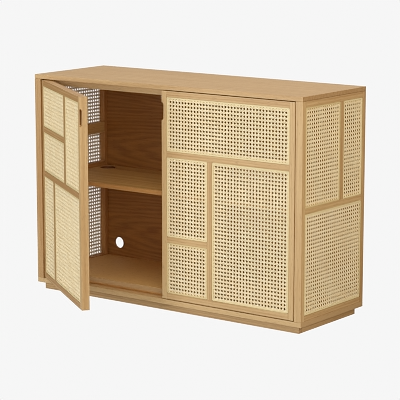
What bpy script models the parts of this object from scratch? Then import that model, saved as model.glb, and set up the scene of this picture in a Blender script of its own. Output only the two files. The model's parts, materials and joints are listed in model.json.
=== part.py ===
# Oak television cabinet: framed sides and doors with cane lights, on a recessed plinth.
# Metres, +Z up. The origin is on the floor under the middle of the carcass, and the doors face -Y.

import math

import bmesh
import bpy
from mathutils import Vector

# Carcass
WIDTH = 1.200
DEPTH = 0.400
HEIGHT = 0.820
TOP_THICKNESS = 0.016
BASE_THICKNESS = 0.018
FLOOR_THICKNESS = 0.028
DIVIDER_THICKNESS = 0.018
BACK_THICKNESS = 0.008
BACK_RECESS = 0.009
SHELF_THICKNESS = 0.016
SHELF_TOP = 0.432
SHELF_SETBACK = 0.002
TOP_RAIL_HEIGHT = 0.024
TOP_RAIL_THICKNESS = 0.018

# Plinth
PLINTH_HEIGHT = 0.027
PLINTH_RECESS = 0.020
PLINTH_THICKNESS = 0.018

# Framed panels: the face shows outside, and the lip behind it backs the edge of the cane
SIDE_THICKNESS = 0.028
SIDE_FACE = 0.021
DOOR_THICKNESS = 0.028
DOOR_FACE = 0.022
LIP = 0.010
REBATE = 0.004

# Cane lights
CANE_RECESS = 0.0008
SPLINE_WIDTH = 0.005
SPLINE_RISE = 0.0008

# Division of each panel into lights
LEFT_SIDE_TOP_LIGHT = 0.190
RIGHT_SIDE_FRONT_LIGHT = 0.216
SHELF_RAIL_DROP = 0.0145
LEFT_DOOR_UPPER_LIGHTS = 0.317
LEFT_DOOR_TOP_LIGHT = 0.150
LEFT_DOOR_UPPER_LEFT_WIDTH = 0.311
LEFT_DOOR_LOWER_LEFT_WIDTH = 0.141
RIGHT_DOOR_TOP_LIGHT = 0.193
RIGHT_DOOR_LEFT_WIDTH = 0.178
RIGHT_DOOR_BOTTOM_LIGHT = 0.185

# Door gaps and pivots
HINGE_GAP = 0.003
MEETING_GAP = 0.002
END_GAP = 0.003
STOP_GAP = 0.003
PIVOT_INSET = 0.008
PIVOT_DEPTH = 0.006
PIN_RADIUS = 0.0025
PIN_IN_DOOR = 0.020
PIN_IN_PANEL = 0.010
COLLAR_RADIUS = 0.0045
LEFT_DOOR_ANGLE = 35.0

# Finger pull in the meeting edge of each door: a notch through the face and a groove behind it
PULL_HEIGHT = 0.062
PULL_WIDTH = 0.011
PULL_RADIUS = 0.009
PULL_BELOW_TOP = 0.043
PULL_FACE = 0.004
GROOVE_HEIGHT = 0.054
GROOVE_WIDTH = 0.005
GROOVE_REACH = 0.019
GROOVE_RADIUS = 0.012
PULL_SEGMENTS = 5

# Cable outlets
SHELF_HOLE_RADIUS = 0.030
SHELF_HOLE_FROM_SIDE = 0.046
SHELF_HOLE_FROM_BACK = 0.050
BACK_HOLE_RADIUS = 0.022
BACK_HOLE_FROM_SIDE = 0.057
BACK_HOLE_ABOVE_FLOOR = 0.053

# Magnet catch behind the meeting edges
CATCH_LENGTH = 0.060
CATCH_HEIGHT = 0.014
CATCH_THICKNESS = 0.014
CATCH_SETBACK = 0.001

# Clearance between pieces that touch
FIT = 0.0003

# Heights and planes that follow from the sizes above
BASE_TOP = PLINTH_HEIGHT + BASE_THICKNESS
FLOOR_TOP = BASE_TOP + FLOOR_THICKNESS
TOP_UNDERSIDE = HEIGHT - TOP_THICKNESS
FRONT = -DEPTH / 2
BACK_FACE = DEPTH / 2 - BACK_RECESS - BACK_THICKNESS
INNER_SIDE = WIDTH / 2 - SIDE_THICKNESS
STOP_LINE = FRONT + DOOR_THICKNESS + STOP_GAP
DOOR_WIDTH = INNER_SIDE - HINGE_GAP - MEETING_GAP / 2
DOOR_BOTTOM = BASE_TOP + END_GAP
DOOR_TOP = TOP_UNDERSIDE - END_GAP
PIVOT_X = INNER_SIDE - HINGE_GAP - PIVOT_INSET
PIVOT_Y = FRONT + PIVOT_DEPTH
RAIL_UNDERSIDE = TOP_UNDERSIDE - TOP_RAIL_HEIGHT
RAIL_BACK = STOP_LINE + TOP_RAIL_THICKNESS
SHELF_RAIL_FOOT = SHELF_TOP - SHELF_RAIL_DROP

for old in list(bpy.data.objects):
    bpy.data.objects.remove(old, do_unlink=True)


def finish(name, colour, roughness, metallic=0.0):
    material = bpy.data.materials.new(name)
    material.use_nodes = True
    shader = material.node_tree.nodes["Principled BSDF"]
    shader.inputs["Base Color"].default_value = (*colour, 1.0)
    shader.inputs["Roughness"].default_value = roughness
    shader.inputs["Metallic"].default_value = metallic
    material.diffuse_color = (*colour, 1.0)
    return material


OAK = finish("oak", (0.62, 0.42, 0.21), 0.55)
CANE = finish("cane", (0.86, 0.71, 0.44), 0.60)
STEEL = finish("steel", (0.60, 0.60, 0.61), 0.30, 1.0)
CATCH_PLASTIC = finish("catch_plastic", (0.25, 0.16, 0.09), 0.50)


# Objects

def add_object(name, bm, location, parent, material):
    bmesh.ops.recalc_face_normals(bm, faces=bm.faces)
    mesh = bpy.data.meshes.new(name)
    bm.to_mesh(mesh)
    bm.free()
    mesh.materials.append(material)
    piece = bpy.data.objects.new(name, mesh)
    bpy.context.scene.collection.objects.link(piece)
    piece.location = location
    piece.parent = parent
    return piece


def add_empty(name, location, turn=0.0):
    empty = bpy.data.objects.new(name, None)
    bpy.context.scene.collection.objects.link(empty)
    empty.location = location
    empty.rotation_euler = (0.0, 0.0, math.radians(turn))
    empty.empty_display_size = 0.05
    return empty


def box_mesh(size):
    bm = bmesh.new()
    bmesh.ops.create_cube(bm, size=1.0)
    bmesh.ops.scale(bm, vec=size, verts=bm.verts)
    return bm


def board(name, low, high, parent, material=OAK):
    # A plain board between two corners, given in its parent's frame
    low = Vector(low)
    high = Vector(high)
    return add_object(name, box_mesh(high - low), (low + high) / 2, parent, material)


def extrude_profile(bm, faces, step):
    # Makes a closed bar from the flat faces of a profile, and returns the faces of its far end
    made = bmesh.ops.extrude_face_region(bm, geom=faces)["geom"]
    points = [item for item in made if isinstance(item, bmesh.types.BMVert)]
    bmesh.ops.translate(bm, verts=points, vec=step)
    return [item for item in made if isinstance(item, bmesh.types.BMFace)]


def extrude_face(bm, face, step):
    # Draws one face of a closed bar out along a step
    drawn = bmesh.ops.extrude_discrete_faces(bm, faces=[face])["faces"][0]
    bmesh.ops.translate(bm, verts=drawn.verts, vec=step)


# Cutters stay in the file as hidden guides

def cut(piece, cutter):
    cutter.hide_render = True
    cutter.display_type = "WIRE"
    boolean = piece.modifiers.new("cut_" + cutter.name, "BOOLEAN")
    boolean.operation = "DIFFERENCE"
    boolean.solver = "EXACT"
    boolean.object = cutter


def round_cutter(name, location, radius, length, parent, lying=False, segments=32):
    bm = bmesh.new()
    bmesh.ops.create_cone(bm, cap_ends=True, segments=segments, radius1=radius, radius2=radius, depth=length)
    cutter = add_object(name, bm, location, parent, OAK)
    if lying:
        cutter.rotation_euler = (math.radians(90), 0.0, 0.0)
    return cutter


def drill(piece, name, location, radius, length, lying=False, segments=32):
    # A round hole, its middle given in the frame of the piece's parent
    cut(piece, round_cutter(name, location, radius, length, piece.parent, lying, segments))


# Framed panels. In a panel's own frame u runs along its width, w goes in from its outer face.

class Panel:
    def __init__(self, name, empty, axis_u, axis_w, thickness, face):
        self.name = name
        self.empty = empty
        self.axis_u = axis_u
        self.axis_w = axis_w
        self.thickness = thickness
        self.face = face

    def place(self, u, w, z):
        return Vector((u - self.axis_u, w - self.axis_w, z))


def frame_bar(panel, name, ends, edges, upright, lips, coped):
    # One bar of a frame: a face at the front and, behind the rebate, a lip beside each light.
    # ends are its limits along its length, edges those across its face. Where coped, the back of
    # each end is shorter by a lip, so that the face laps over the lip of the bar that it meets.
    start, end = ends
    low, high = edges
    cope = LIP if coped else 0.0
    middle_along = (start + end) / 2
    middle_across = (low + high) / 2
    bm = bmesh.new()
    corners = {}

    def corner(across, depth):
        key = (round(across, 6), round(depth, 6))
        if key not in corners:
            side = across - middle_across
            along = start + cope - middle_along
            point = (side, depth, along) if upright else (along, depth, side)
            corners[key] = bm.verts.new(point)
        return corners[key]

    def quad(first, last, front, back):
        outline = [(first, front), (last, front), (last, back), (first, back)]
        return bm.faces.new([corner(*point) for point in outline])

    lap = REBATE - FIT
    lap_face = quad(low, high, 0.0, lap)
    profile = [lap_face, quad(low, high, lap, REBATE), quad(low, high, REBATE, panel.thickness)]
    if lips[0]:
        profile.append(quad(low - LIP, low, REBATE, panel.thickness))
    if lips[1]:
        profile.append(quad(high, high + LIP, REBATE, panel.thickness))
    direction = Vector((0, 0, 1)) if upright else Vector((1, 0, 0))
    far_faces = extrude_profile(bm, profile, direction * (end - start - 2 * cope))
    if coped:
        far_lap_face = min(far_faces, key=lambda face: face.calc_center_median().y)
        extrude_face(bm, far_lap_face, direction * cope)
        extrude_face(bm, lap_face, direction * -cope)
    if upright:
        location = panel.place(middle_across, 0.0, middle_along)
    else:
        location = panel.place(middle_along, 0.0, middle_across)
    return add_object(panel.name + "_" + name, bm, location, panel.empty, OAK)


def add_frame(panel, width, foot, head, stile_names):
    # The outer frame. Returns the region inside it as (first u, last u, low z, high z).
    face = panel.face
    inside = (face, width - face, foot + face, head - face)
    frame_bar(panel, stile_names[0], (foot, head), (0.0, face), True, (False, True), False)
    frame_bar(panel, stile_names[1], (foot, head), (width - face, width), True, (True, False), False)
    between = (face + FIT, width - face - FIT)
    frame_bar(panel, "bottom_rail", between, (foot, foot + face), False, (False, True), True)
    frame_bar(panel, "top_rail", between, (head - face, head), False, (True, False), True)
    return inside


def add_rail(panel, name, region, foot):
    # A rail across a region. Returns the regions under and over it.
    first, last, low, high = region
    head = foot + panel.face
    frame_bar(panel, name, (first + FIT, last - FIT), (foot, head), False, (True, True), True)
    return (first, last, low, foot), (first, last, head, high)


def add_muntin(panel, name, region, start):
    # An upright bar inside a region. Returns the regions at its low and high u sides.
    first, last, low, high = region
    end = start + panel.face
    frame_bar(panel, name, (low + FIT, high - FIT), (start, end), True, (True, True), True)
    return (first, start, low, high), (end, last, low, high)


def add_cane(panel, name, region):
    # A sheet of cane in the rebate of one light, with a raised reed spline round its edge
    first, last, low, high = region
    size = Vector((last - first - 2 * FIT, REBATE - FIT - CANE_RECESS, high - low - 2 * FIT))
    bm = box_mesh(size)
    bm.normal_update()
    sheet = min(bm.faces, key=lambda face: face.calc_center_median().y)
    bmesh.ops.inset_individual(bm, faces=[sheet], thickness=SPLINE_WIDTH)
    bmesh.ops.translate(bm, verts=sheet.verts, vec=(0.0, SPLINE_RISE, 0.0))
    location = panel.place((first + last) / 2, CANE_RECESS + size.y / 2, (low + high) / 2)
    return add_object(panel.name + "_cane_" + name, bm, location, panel.empty, CANE)


# Carcass

carcass = add_empty("carcass", (0.0, 0.0, 0.0))

top_panel = board("top_panel", (-WIDTH / 2, FRONT, TOP_UNDERSIDE), (WIDTH / 2, -FRONT, HEIGHT), carcass)
base_panel = board(
    "base_panel",
    (-WIDTH / 2, FRONT, PLINTH_HEIGHT + FIT),
    (WIDTH / 2, -FRONT, BASE_TOP),
    carcass,
)
board(
    "floor_panel",
    (-INNER_SIDE + FIT, STOP_LINE, BASE_TOP + FIT),
    (INNER_SIDE - FIT, BACK_FACE - FIT, FLOOR_TOP),
    carcass,
)
board(
    "top_front_rail",
    (-INNER_SIDE + FIT, STOP_LINE, RAIL_UNDERSIDE),
    (INNER_SIDE - FIT, RAIL_BACK, TOP_UNDERSIDE - FIT),
    carcass,
)
back_panel = board(
    "back_panel",
    (-INNER_SIDE + FIT, BACK_FACE, BASE_TOP + FIT),
    (INNER_SIDE - FIT, BACK_FACE + BACK_THICKNESS, TOP_UNDERSIDE - FIT),
    carcass,
)
board(
    "magnet_catch",
    (-CATCH_LENGTH / 2, STOP_LINE + CATCH_SETBACK, RAIL_UNDERSIDE - FIT - CATCH_HEIGHT),
    (CATCH_LENGTH / 2, STOP_LINE + CATCH_SETBACK + CATCH_THICKNESS, RAIL_UNDERSIDE - FIT),
    carcass,
    CATCH_PLASTIC,
)

# The divider is notched at its top front corner for the rail and the catch
divider = board(
    "centre_divider",
    (-DIVIDER_THICKNESS / 2, STOP_LINE, FLOOR_TOP + FIT),
    (DIVIDER_THICKNESS / 2, BACK_FACE - FIT, TOP_UNDERSIDE - FIT),
    carcass,
)
notch_back = max(RAIL_BACK, STOP_LINE + CATCH_SETBACK + CATCH_THICKNESS) + FIT
notch_foot = RAIL_UNDERSIDE - CATCH_HEIGHT - 2 * FIT
notch = board(
    "divider_notch",
    (-DIVIDER_THICKNESS, FRONT, notch_foot),
    (DIVIDER_THICKNESS, notch_back, HEIGHT),
    carcass,
)
cut(divider, notch)

# Shelves, mirrored about the divider
shelf_inner = DIVIDER_THICKNESS / 2 + FIT
shelf_outer = INNER_SIDE - FIT
shelf_front = STOP_LINE + SHELF_SETBACK
shelf_low = SHELF_TOP - SHELF_THICKNESS
shelf_back = BACK_FACE - FIT
shelf_left = board(
    "shelf_left", (-shelf_outer, shelf_front, shelf_low), (-shelf_inner, shelf_back, SHELF_TOP), carcass
)
board("shelf_right", (shelf_inner, shelf_front, shelf_low), (shelf_outer, shelf_back, SHELF_TOP), carcass)

# Cable outlets in the left half
shelf_hole = (
    -INNER_SIDE + SHELF_HOLE_FROM_SIDE,
    BACK_FACE - SHELF_HOLE_FROM_BACK,
    SHELF_TOP - SHELF_THICKNESS / 2,
)
drill(shelf_left, "shelf_outlet", shelf_hole, SHELF_HOLE_RADIUS, 2 * SHELF_THICKNESS)
back_hole = (
    -INNER_SIDE + BACK_HOLE_FROM_SIDE,
    BACK_FACE + BACK_THICKNESS / 2,
    FLOOR_TOP + BACK_HOLE_ABOVE_FLOOR,
)
drill(back_panel, "back_outlet", back_hole, BACK_HOLE_RADIUS, 2 * BACK_THICKNESS, lying=True)

# Plinth
plinth_x = WIDTH / 2 - PLINTH_RECESS
plinth_y = DEPTH / 2 - PLINTH_RECESS
inner_y = plinth_y - PLINTH_THICKNESS - FIT
board("plinth_front", (-plinth_x, -plinth_y, 0.0), (plinth_x, -inner_y - FIT, PLINTH_HEIGHT), carcass)
board("plinth_back", (-plinth_x, inner_y + FIT, 0.0), (plinth_x, plinth_y, PLINTH_HEIGHT), carcass)
bearers = {
    "plinth_left": -plinth_x + PLINTH_THICKNESS / 2,
    "plinth_right": plinth_x - PLINTH_THICKNESS / 2,
    "plinth_cross_bearer": 0.0,
}
for name, middle in bearers.items():
    board(
        name,
        (middle - PLINTH_THICKNESS / 2, -inner_y, 0.0),
        (middle + PLINTH_THICKNESS / 2, inner_y, PLINTH_HEIGHT),
        carcass,
    )

# Sides
side_foot = BASE_TOP + FIT
side_head = TOP_UNDERSIDE - FIT

left_empty = add_empty("left_side", (-WIDTH / 2, DEPTH / 2, 0.0), -90.0)
left_side = Panel("left_side", left_empty, 0.0, 0.0, SIDE_THICKNESS, SIDE_FACE)
lights = add_frame(left_side, DEPTH, side_foot, side_head, ("back_stile", "front_stile"))
lower, upper = add_rail(left_side, "shelf_rail", lights, SHELF_RAIL_FOOT)
middle, top = add_rail(left_side, "upper_rail", upper, upper[3] - LEFT_SIDE_TOP_LIGHT - SIDE_FACE)
add_cane(left_side, "bottom", lower)
add_cane(left_side, "middle", middle)
add_cane(left_side, "top", top)

right_empty = add_empty("right_side", (WIDTH / 2, -DEPTH / 2, 0.0), 90.0)
right_side = Panel("right_side", right_empty, 0.0, 0.0, SIDE_THICKNESS, SIDE_FACE)
lights = add_frame(right_side, DEPTH, side_foot, side_head, ("front_stile", "back_stile"))
lower, upper = add_rail(right_side, "shelf_rail", lights, SHELF_RAIL_FOOT)
front, back = add_muntin(right_side, "muntin", upper, upper[0] + RIGHT_SIDE_FRONT_LIGHT)
add_cane(right_side, "bottom", lower)
add_cane(right_side, "front", front)
add_cane(right_side, "back", back)

# Left door: its empty stands on the pivot axis and is turned to the angle at rest
left_pivot = add_empty("left_door_pivot", (-PIVOT_X, PIVOT_Y, 0.0), -LEFT_DOOR_ANGLE)
left_door = Panel("left_door", left_pivot, PIVOT_INSET, PIVOT_DEPTH, DOOR_THICKNESS, DOOR_FACE)
lights = add_frame(left_door, DOOR_WIDTH, DOOR_BOTTOM, DOOR_TOP, ("hinge_stile", "pull_stile"))
lower, upper = add_rail(left_door, "mid_rail", lights, lights[3] - LEFT_DOOR_UPPER_LIGHTS - DOOR_FACE)
upper_left, upper_right = add_muntin(
    left_door, "upper_muntin", upper, upper[0] + LEFT_DOOR_UPPER_LEFT_WIDTH
)
middle_left, top_left = add_rail(
    left_door, "short_rail", upper_left, upper_left[3] - LEFT_DOOR_TOP_LIGHT - DOOR_FACE
)
lower_left, lower_right = add_muntin(
    left_door, "lower_muntin", lower, lower[0] + LEFT_DOOR_LOWER_LEFT_WIDTH
)
add_cane(left_door, "top_left", top_left)
add_cane(left_door, "middle_left", middle_left)
add_cane(left_door, "upper_right", upper_right)
add_cane(left_door, "lower_left", lower_left)
add_cane(left_door, "lower_right", lower_right)

# Right door: closed at rest
right_pivot = add_empty("right_door_pivot", (PIVOT_X, PIVOT_Y, 0.0))
right_door = Panel(
    "right_door", right_pivot, DOOR_WIDTH - PIVOT_INSET, PIVOT_DEPTH, DOOR_THICKNESS, DOOR_FACE
)
lights = add_frame(right_door, DOOR_WIDTH, DOOR_BOTTOM, DOOR_TOP, ("pull_stile", "hinge_stile"))
lower, top = add_rail(right_door, "mid_rail", lights, lights[3] - RIGHT_DOOR_TOP_LIGHT - DOOR_FACE)
left_column, right_column = add_muntin(right_door, "muntin", lower, lower[0] + RIGHT_DOOR_LEFT_WIDTH)
bottom_left, middle_left = add_rail(
    right_door, "short_rail", left_column, left_column[2] + RIGHT_DOOR_BOTTOM_LIGHT
)
add_cane(right_door, "top", top)
add_cane(right_door, "middle_left", middle_left)
add_cane(right_door, "bottom_left", bottom_left)
add_cane(right_door, "right", right_column)

# Finger pulls: a rounded notch in the face at each meeting edge, with a deeper groove behind the face

def pull_cutter(name, panel, free_edge, reach, start, end, height, radius):
    # A slot in from the free edge, between two depths, with its two inner corners rounded
    bm = box_mesh(Vector((2 * reach, end - start, height)))
    depth_edges = [edge for edge in bm.edges if abs((edge.verts[0].co - edge.verts[1].co).y) > FIT]
    bmesh.ops.bevel(
        bm,
        geom=depth_edges,
        offset=radius,
        offset_type="OFFSET",
        segments=PULL_SEGMENTS,
        profile=0.5,
        affect="EDGES",
    )
    middle = panel.place(free_edge, (start + end) / 2, DOOR_TOP - PULL_BELOW_TOP - PULL_HEIGHT / 2)
    return add_object(panel.name + "_" + name, bm, middle, panel.empty, OAK)


for panel, free_edge in ((left_door, DOOR_WIDTH), (right_door, 0.0)):
    stile = bpy.data.objects[panel.name + "_pull_stile"]
    groove_middle = PULL_FACE + GROOVE_WIDTH / 2
    face_notch = pull_cutter(
        "pull_notch", panel, free_edge, PULL_WIDTH, -PULL_FACE, groove_middle, PULL_HEIGHT, PULL_RADIUS
    )
    cut(stile, face_notch)
    groove = pull_cutter(
        "pull_groove", panel, free_edge, GROOVE_REACH, PULL_FACE, PULL_FACE + GROOVE_WIDTH, GROOVE_HEIGHT,
        GROOVE_RADIUS,
    )
    cut(stile, groove)

# Pivot pins: fixed in the top and base, with a collar in the gap that keeps the door off the panel
PIN_SEGMENTS = 24


def pivot_pin(name, seat, towards_door):
    # seat is the panel's surface, where the pin leaves it
    gap = towards_door * END_GAP
    collar_start = towards_door * FIT
    heights = (-towards_door * PIN_IN_PANEL, collar_start, gap - collar_start, gap + towards_door * PIN_IN_DOOR)
    profile = [
        (0.0, heights[0]),
        (PIN_RADIUS, heights[0]),
        (PIN_RADIUS, heights[1]),
        (COLLAR_RADIUS, heights[1]),
        (COLLAR_RADIUS, heights[2]),
        (PIN_RADIUS, heights[2]),
        (PIN_RADIUS, heights[3]),
        (0.0, heights[3]),
    ]
    bm = bmesh.new()
    points = [bm.verts.new((radius, 0.0, height)) for radius, height in profile]
    outline = [bm.edges.new(pair) for pair in zip(points, points[1:])]
    bmesh.ops.spin(
        bm, geom=points + outline, axis=(0, 0, 1), cent=(0, 0, 0), angle=2 * math.pi, steps=PIN_SEGMENTS
    )
    bmesh.ops.remove_doubles(bm, verts=bm.verts, dist=1e-6)
    pin = add_object(name, bm, seat, carcass, STEEL)
    pin.data.shade_smooth()
    pin.data.set_sharp_from_angle(angle=math.radians(40))
    return pin


hole_radius = PIN_RADIUS + FIT
for panel, sign in ((left_door, -1), (right_door, 1)):
    stile = bpy.data.objects[panel.name + "_hinge_stile"]
    for place, seat_z, towards_door, carrier in (
        ("bottom", BASE_TOP, 1, base_panel),
        ("top", TOP_UNDERSIDE, -1, top_panel),
    ):
        seat = Vector((sign * PIVOT_X, PIVOT_Y, seat_z))
        pivot_pin(panel.name + "_" + place + "_pin", seat, towards_door)
        drill(
            carrier,
            panel.name + "_" + place + "_seat",
            seat,
            hole_radius,
            2 * (PIN_IN_PANEL + FIT),
            segments=PIN_SEGMENTS,
        )
        door_end = Vector((0.0, 0.0, seat_z + towards_door * END_GAP))
        drill(
            stile,
            panel.name + "_" + place + "_socket",
            door_end,
            hole_radius,
            2 * (PIN_IN_DOOR + FIT),
            segments=PIN_SEGMENTS,
        )
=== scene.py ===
# Oak television cabinet with woven cane lights: its finished surfaces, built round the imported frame.
import json
import math
import random

import bmesh
import bpy
from mathutils import Matrix, Vector

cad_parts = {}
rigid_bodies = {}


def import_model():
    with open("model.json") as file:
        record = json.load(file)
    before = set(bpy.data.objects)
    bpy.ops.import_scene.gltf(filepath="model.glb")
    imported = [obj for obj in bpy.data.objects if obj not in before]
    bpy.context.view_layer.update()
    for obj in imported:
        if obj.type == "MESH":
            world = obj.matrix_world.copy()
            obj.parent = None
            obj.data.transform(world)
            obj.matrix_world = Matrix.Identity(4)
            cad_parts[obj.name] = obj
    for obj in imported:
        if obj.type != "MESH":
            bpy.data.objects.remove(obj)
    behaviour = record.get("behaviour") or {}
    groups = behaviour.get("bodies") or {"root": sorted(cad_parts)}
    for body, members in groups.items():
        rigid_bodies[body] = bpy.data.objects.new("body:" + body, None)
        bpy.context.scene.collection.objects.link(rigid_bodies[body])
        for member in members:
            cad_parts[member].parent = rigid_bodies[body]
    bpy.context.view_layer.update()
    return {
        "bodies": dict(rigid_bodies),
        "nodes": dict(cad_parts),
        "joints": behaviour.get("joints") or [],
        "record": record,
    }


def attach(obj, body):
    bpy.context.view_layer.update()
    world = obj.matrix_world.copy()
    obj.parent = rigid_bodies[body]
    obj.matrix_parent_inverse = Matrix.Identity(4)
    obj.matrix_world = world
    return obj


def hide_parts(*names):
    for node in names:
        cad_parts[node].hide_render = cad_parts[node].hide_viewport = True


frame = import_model()
print("frame loaded:", len(frame["nodes"]), "pieces")


# Small helpers

squareOn = 0.7   # how squarely a face has to look along an axis


def pick(piece):
    bpy.ops.object.select_all(action="DESELECT")
    piece.select_set(True)
    bpy.context.view_layer.objects.active = piece


def editAll(piece):
    pick(piece)
    bpy.ops.object.mode_set(mode="EDIT")
    bpy.ops.mesh.select_all(action="SELECT")


def leaveEdit():
    bpy.ops.object.mode_set(mode="OBJECT")


def selectEdges(piece, wanted):
    # in edit mode: selects the edges whose two ends are wanted
    bpy.ops.mesh.select_all(action="DESELECT")
    mesh = bmesh.from_edit_mesh(piece.data)
    for edge in mesh.edges:
        edge.select_set(wanted(*[vertex.co for vertex in edge.verts]))
    bmesh.update_edit_mesh(piece.data)


def selectFaces(piece, wanted):
    # in edit mode: selects the faces whose middle and normal are wanted
    bpy.ops.mesh.select_all(action="DESELECT")
    bpy.ops.mesh.select_mode(type="FACE")
    mesh = bmesh.from_edit_mesh(piece.data)
    for face in mesh.faces:
        face.select_set(wanted(face.calc_center_median(), face.normal))
    mesh.select_flush_mode()
    bmesh.update_edit_mesh(piece.data)


def applyModifier(piece, name, kind, **settings):
    pick(piece)
    modifier = piece.modifiers.new(name, kind)
    for key, value in settings.items():
        setattr(modifier, key, value)
    bpy.ops.object.modifier_apply(modifier=name)


def placeMesh(piece, matrix):
    # puts the place into the mesh, so that the object itself stays at the origin
    pick(piece)
    piece.matrix_world = matrix
    bpy.ops.object.transform_apply(location=True, rotation=True, scale=True)


def newPiece(name, data):
    piece = bpy.data.objects.new(name, data)
    piece.data.name = name
    bpy.context.collection.objects.link(piece)
    return piece


def nameNew(name):
    # names the primitive that was added last
    piece = bpy.context.object
    piece.name = name
    piece.data.name = name
    return piece


def newAttributes(piece, **kinds):
    # all are added before any is read, because adding one moves the others
    for name, kind in kinds.items():
        piece.data.attributes.new(name, kind, "POINT")
    return [piece.data.attributes[name].data for name in kinds]


# Doors are worked on as if closed, where their bars lie square, and are then swung to their place at rest
def closingTurn(body):
    for joint in frame["joints"]:
        if joint["child"] == body and joint["range_deg"][0] < 0:
            pivot = Matrix.Translation(Vector(joint["pos_m"]))
            turn = Matrix.Rotation(math.radians(joint["range_deg"][0]), 4, Vector(joint["axis"]))
            return pivot @ turn @ pivot.inverted()
    return Matrix.Identity(4)


bodyOf = {}
for bodyName, members in frame["record"]["behaviour"]["bodies"].items():
    for member in members:
        bodyOf[member] = bodyName
closeDoor = {bodyName: closingTurn(bodyName) for bodyName in frame["bodies"]}


def closedBox(node):
    # corners of a node with its door closed
    turn = closeDoor[bodyOf[node]]
    points = [turn @ vertex.co for vertex in frame["nodes"][node].data.vertices]
    low = Vector([min(point[axis] for point in points) for axis in range(3)])
    high = Vector([max(point[axis] for point in points) for axis in range(3)])
    return low, high


def setPiece(piece, node, material):
    piece.data.materials.clear()
    piece.data.materials.append(material)
    placeMesh(piece, closeDoor[bodyOf[node]].inverted())
    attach(piece, bodyOf[node])


# Materials

def linear(hexColour):
    channels = [int(hexColour[place:place + 2], 16) / 255 for place in (1, 3, 5)]
    return (*[c / 12.92 if c <= 0.04045 else ((c + 0.055) / 1.055) ** 2.4 for c in channels], 1.0)


def perMetre(millimetres):
    return 1000.0 / millimetres


def addNode(tree, kind, settings=None, links=None):
    node = tree.nodes.new(kind)
    for key, value in (settings or {}).items():
        if key == "stops":   # of a colour ramp: places and colours
            for stop, (place, colour) in zip(node.color_ramp.elements, value):
                stop.position = place
                stop.color = linear(colour)
        elif isinstance(key, int) or key in node.inputs:
            node.inputs[key].default_value = value
        else:
            setattr(node, key, value)
    for key, source in (links or {}).items():
        tree.links.new(source, node.inputs[key])
    return node


def newMaterial(name):
    material = bpy.data.materials.new(name)
    material.use_nodes = True
    tree = material.node_tree
    return material, tree, tree.nodes["Principled BSDF"]


oakLook = {
    "light": "#d3ae76",          # earlywood
    "dark": "#b4864e",           # latewood
    "pore": "#8c6238",
    "edge": "#96693c",           # end grain
    "cut": "#a8743d",            # painted shade inside a finger pull
    "streak": (420, 10, 10),     # millimetres along, across and through the board
    "fibre": (110, 2.2, 2.2),
    "poreSize": (26, 1.3, 1.3),  # real pores are a third of this: drawn coarse so that they show
    "poreLevel": (0.62, 0.74),   # where the noise turns into a pore
    "poreDepth": 0.55,
    "ring": 9.0,                 # growth rings, three times as wide as real so that they show
    "ringStretch": 0.06,         # how slowly a ring wanders along the board
    "ringWander": 4.0,
    "leaf": 3000,                # millimetres to the seam where the figure is mirrored: none in a solid board
    "ringShare": 0.14,
    "fibreShare": 0.36,
    "boardSpread": 0.07,         # how much one board differs from the next, by chance or by its painted light or shade
    "contrast": (0.34, 0.74),
    "relief": 0.22,
    "reliefHeight": 0.0004,
    "roughness": (0.44, 0.56),
    "ior": 1.47,
}
# Inside the cabinet the same oak as veneer with a bolder figure, painted darker and redder for the shade and
# warm bounce light in there
insideOakLook = dict(
    oakLook, light="#d5a55d", dark="#a77238", pore="#704420",
    ring=17.0, leaf=330, ringShare=0.30, ringWander=6.0,
    contrast=(0.08, 0.98), boardSpread=0.25, roughness=(0.52, 0.64), ior=1.4,
    edge="#c09a68",              # the solid lipping along the front of a veneered board, its colour partly painted light on the front face
    cut="#6e4220",               # painted shade on the wall of a cable hole
)
# painted light: the shelves lighter than the other inside boards, for the light that reaches them, their
# lipping too
shelfOakLook = dict(insideOakLook, light="#e5b669", dark="#b47e40", edge="#c68e4e")
# painted shade: the back darkest, for the deep shade at the back of the cabinet
backOakLook = dict(insideOakLook, light="#c0823a", dark="#86541d", pore="#5c3812", ring=11.0)
# painted light: the floor lighter, for the light that reaches it through the opening
floorOakLook = dict(insideOakLook, light="#e6b56d", dark="#b98445")
warmOakLook = dict(oakLook, light="#d3a45f", dark="#b97f3f")   # bars lit by the wood around them


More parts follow.
